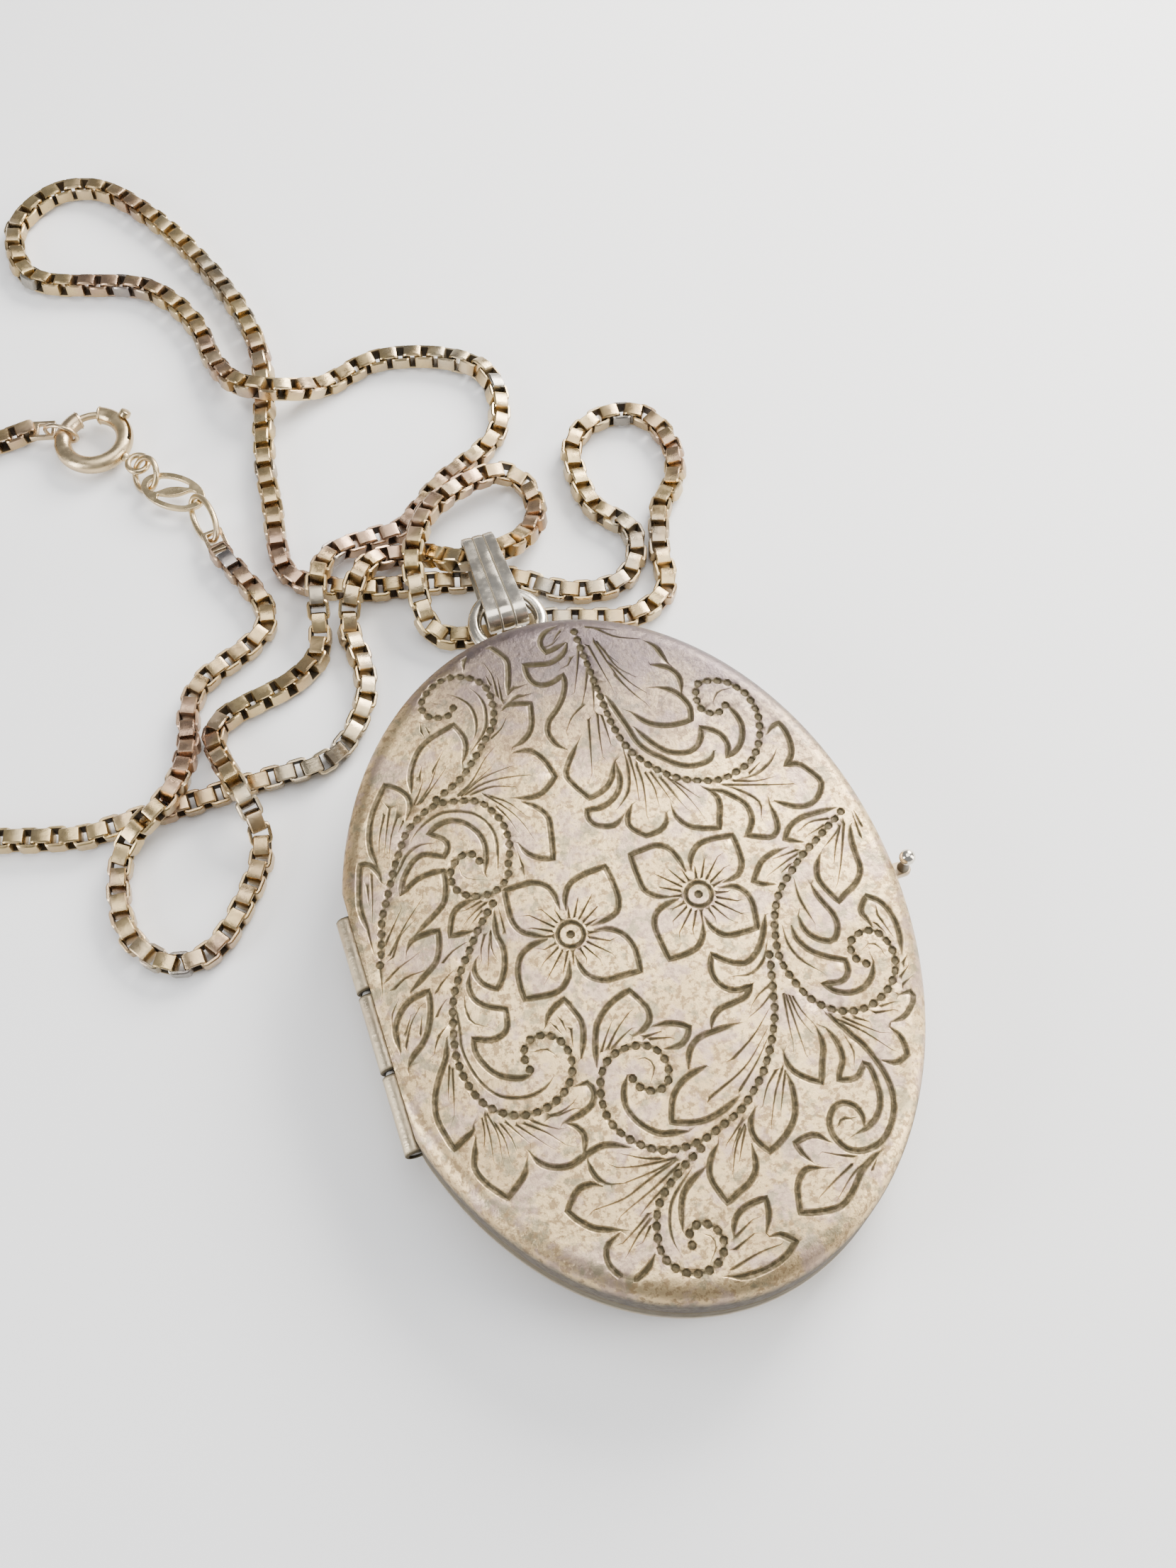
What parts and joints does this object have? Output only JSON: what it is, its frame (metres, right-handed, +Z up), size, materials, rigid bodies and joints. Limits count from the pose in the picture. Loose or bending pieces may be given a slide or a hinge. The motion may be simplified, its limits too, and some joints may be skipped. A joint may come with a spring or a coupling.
{
  "type": "locket",
  "caption": "Hinged oval silver locket with an engraved front, folded bail, fine box chain and spring ring clasp.",
  "frame": {"origin": "on the plane the back rests on, under the middle of the box round the locket with its bail, hinge and thumb piece", "axes": "+Z up through the front cover, +Y from the locket towards its bail, the hinge on the -X side"},
  "size_m": [0.0625, 0.0876, 0.0064],
  "materials": {
    "engraved_silver": "worn polished silver, engraved lines darkened by tarnish",
    "plain_silver": "worn plain silver with light tarnish",
    "bright_silver": "polished silver",
    "chain_silver": "polished silver with a warm tint",
    "clear_pane": "clear and smooth",
    "picture_paper": "plain card, no picture",
    "spring_steel": "drawn wire"
  },
  "bodies": {
    "case_back": {"back_cover": "plain_silver", "snap_rim": "plain_silver", "back_picture_frame": "plain_silver", "back_pane": "clear_pane", "back_picture": "picture_paper", "lower_knuckle": "plain_silver", "upper_knuckle": "plain_silver", "hinge_pin": "plain_silver", "top_loop": "bright_silver", "clasp_tube": "chain_silver", "clasp_spring": "spring_steel", "clasp_eye": "chain_silver", "jump_ring": "chain_silver", "oval_tag": "chain_silver", "right_end_ring": "chain_silver", "right_end_link": "chain_silver", "left_end_ring": "chain_silver", "left_end_link": "chain_silver", "chain": "chain_silver"},
    "cover": {"front_cover": "engraved_silver", "front_picture_frame": "plain_silver", "front_pane": "clear_pane", "front_picture": "picture_paper", "middle_knuckle": "plain_silver", "thumb_lug": "plain_silver", "thumb_ball": "plain_silver"},
    "bail": {"bail": "bright_silver"},
    "clasp_trigger": {"clasp_trigger": "chain_silver"}
  },
  "joints": [
    {"name": "cover_hinge", "type": "hinge", "parent": "case_back", "child": "cover", "pos_m": [-0.01495, -0.00476, 0.0032], "axis": [0, -1, 0], "range_deg": [0, 150]},
    {"name": "bail_swing", "type": "hinge", "parent": "case_back", "child": "bail", "pos_m": [-0.00075, 0.01929, 0.0032], "axis": [1, 0, 0], "range_deg": [-4, 130], "deforming": ["chain"]},
    {"name": "clasp_trigger_slide", "type": "hinge", "parent": "case_back", "child": "clasp_trigger", "pos_m": [-0.02171, 0.04069, 0.00095], "axis": [0, 0, -1], "range_deg": [0, 40], "stiffness_Nm_per_rad": 0.004, "deforming": ["clasp_spring"]}
  ]
}
